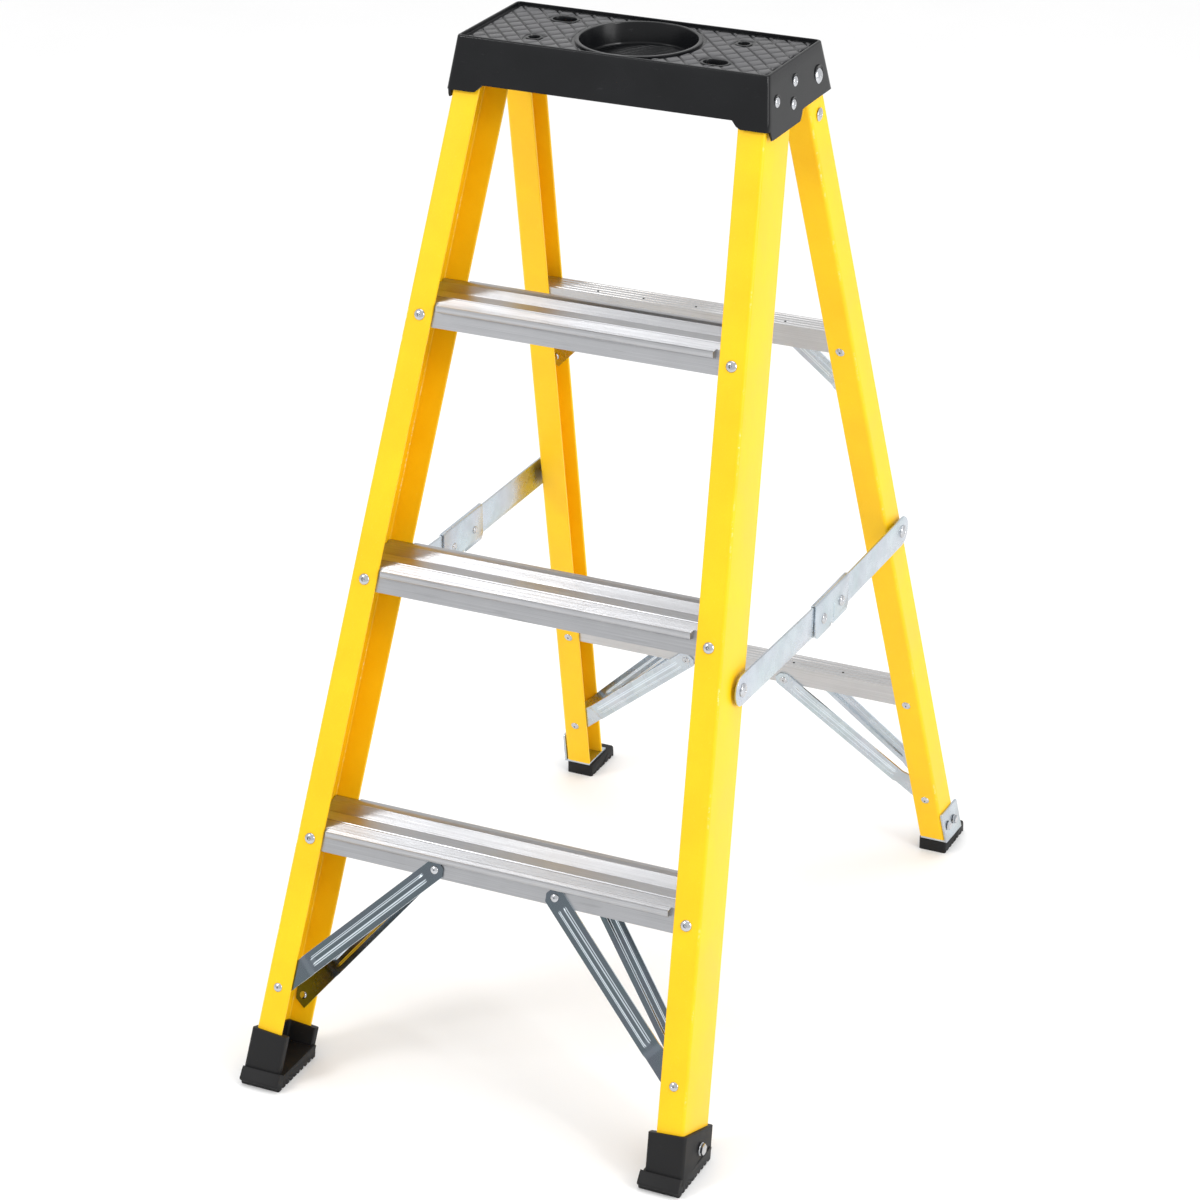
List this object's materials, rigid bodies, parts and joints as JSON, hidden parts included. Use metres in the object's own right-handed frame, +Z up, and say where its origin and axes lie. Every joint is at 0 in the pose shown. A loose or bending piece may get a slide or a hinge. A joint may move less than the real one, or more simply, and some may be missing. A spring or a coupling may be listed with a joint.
{
  "type": "platform step ladder",
  "caption": "Free-standing folding step ladder with yellow channel rails, ribbed metal treads, braced rear frame, side spreaders and a black moulded top cap with tool tray.",
  "frame": {"origin": "on the floor, in the middle of the standing ladder's footprint", "axes": "+Z up, +X to the right as seen by somebody about to climb, +Y from the treads towards the rear frame"},
  "size_m": [0.5598, 0.9346, 1.148],
  "materials": {
    "cap_plastic": "moulded, knurled deck",
    "fibreglass": "pultruded yellow fibreglass, satin",
    "aluminium": "mill finish, extruded",
    "rubber": "matt",
    "rivet_steel": "bright zinc",
    "galvanised": "galvanised",
    "zinc_steel": "zinc plated"
  },
  "bodies": {
    "ladder_frame": {"cap_backing_plate_left": "zinc_steel", "cap_backing_plate_right": "zinc_steel", "cap_rivets": "rivet_steel", "front_rail_left": "fibreglass", "front_rail_right": "fibreglass", "front_shoe_left": "rubber", "front_shoe_right": "rubber", "pivot_pins": "rivet_steel", "pivot_washers": "zinc_steel", "shoe_bolts": "zinc_steel", "shoe_nuts": "zinc_steel", "spreader_front_pins": "rivet_steel", "spreader_front_spacers": "zinc_steel", "step_brace_front_left": "zinc_steel", "step_brace_front_right": "zinc_steel", "step_brace_rear_left": "zinc_steel", "step_brace_rear_right": "zinc_steel", "step_brace_rivets": "rivet_steel", "step_lower": "aluminium", "step_middle": "aluminium", "step_rivets": "rivet_steel", "step_upper": "aluminium", "top_cap": "cap_plastic"},
    "rear_frame": {"foot_bolts": "zinc_steel", "foot_bracket_left": "zinc_steel", "foot_bracket_right": "zinc_steel", "foot_nuts": "zinc_steel", "foot_pad_left": "rubber", "foot_pad_right": "rubber", "pivot_plate_left": "zinc_steel", "pivot_plate_right": "zinc_steel", "pivot_plate_rivets": "rivet_steel", "rear_brace_lower_front_left": "zinc_steel", "rear_brace_lower_front_right": "zinc_steel", "rear_brace_lower_rear_left": "zinc_steel", "rear_brace_lower_rear_right": "zinc_steel", "rear_brace_rivets": "rivet_steel", "rear_brace_upper_left": "zinc_steel", "rear_brace_upper_right": "zinc_steel", "rear_horizontal_lower": "aluminium", "rear_horizontal_rivets": "rivet_steel", "rear_horizontal_upper": "aluminium", "rear_rail_left": "fibreglass", "rear_rail_right": "fibreglass", "spreader_rear_studs": "rivet_steel"},
    "front_link_left": {"spreader_front_link_left": "galvanised"},
    "clip_left": {"spreader_clip_left": "galvanised", "spreader_clip_rivets_left": "rivet_steel"},
    "rear_link_left": {"spreader_rear_link_left": "galvanised", "spreader_rear_pin_left": "rivet_steel"},
    "front_link_right": {"spreader_front_link_right": "galvanised"},
    "clip_right": {"spreader_clip_right": "galvanised", "spreader_clip_rivets_right": "rivet_steel"},
    "rear_link_right": {"spreader_rear_link_right": "galvanised", "spreader_rear_pin_right": "rivet_steel"}
  },
  "joints": [
    {"name": "rear_frame_fold", "type": "hinge", "parent": "ladder_frame", "child": "rear_frame", "pos_m": [0, 0.08242, 1.1115], "axis": [-1, 0, 0], "range_deg": [0, 37]},
    {"name": "front_link_fold_left", "type": "hinge", "parent": "ladder_frame", "child": "front_link_left", "pos_m": [-0.2385, -0.22022, 0.505], "axis": [1, 0, 0], "range_deg": [0, 70.05]},
    {"name": "clip_fold_left", "type": "hinge", "parent": "front_link_left", "child": "clip_left", "pos_m": [-0.2385, 0.01338, 0.493], "axis": [-1, 0, 0], "range_deg": [0, 87.97]},
    {"name": "rear_link_fold_left", "type": "hinge", "parent": "clip_left", "child": "rear_link_left", "pos_m": [-0.2385, 0.06788, 0.493], "axis": [-1, 0, 0], "range_deg": [0, 89.86]},
    {"name": "front_link_fold_right", "type": "hinge", "parent": "ladder_frame", "child": "front_link_right", "pos_m": [0.2385, -0.22022, 0.505], "axis": [1, 0, 0], "range_deg": [0, 70.05]},
    {"name": "clip_fold_right", "type": "hinge", "parent": "front_link_right", "child": "clip_right", "pos_m": [0.2385, 0.01338, 0.493], "axis": [-1, 0, 0], "range_deg": [0, 87.97]},
    {"name": "rear_link_fold_right", "type": "hinge", "parent": "clip_right", "child": "rear_link_right", "pos_m": [0.2385, 0.06788, 0.493], "axis": [-1, 0, 0], "range_deg": [0, 89.86]}
  ],
  "couplings": [
    {"joint": "front_link_fold_left", "follows": "rear_frame_fold", "ratio": 1.8919},
    {"joint": "clip_fold_left", "follows": "rear_frame_fold", "ratio": 2.3763},
    {"joint": "rear_link_fold_left", "follows": "rear_frame_fold", "ratio": 2.4274},
    {"joint": "front_link_fold_right", "follows": "rear_frame_fold", "ratio": 1.8919},
    {"joint": "clip_fold_right", "follows": "rear_frame_fold", "ratio": 2.3763},
    {"joint": "rear_link_fold_right", "follows": "rear_frame_fold", "ratio": 2.4274}
  ]
}
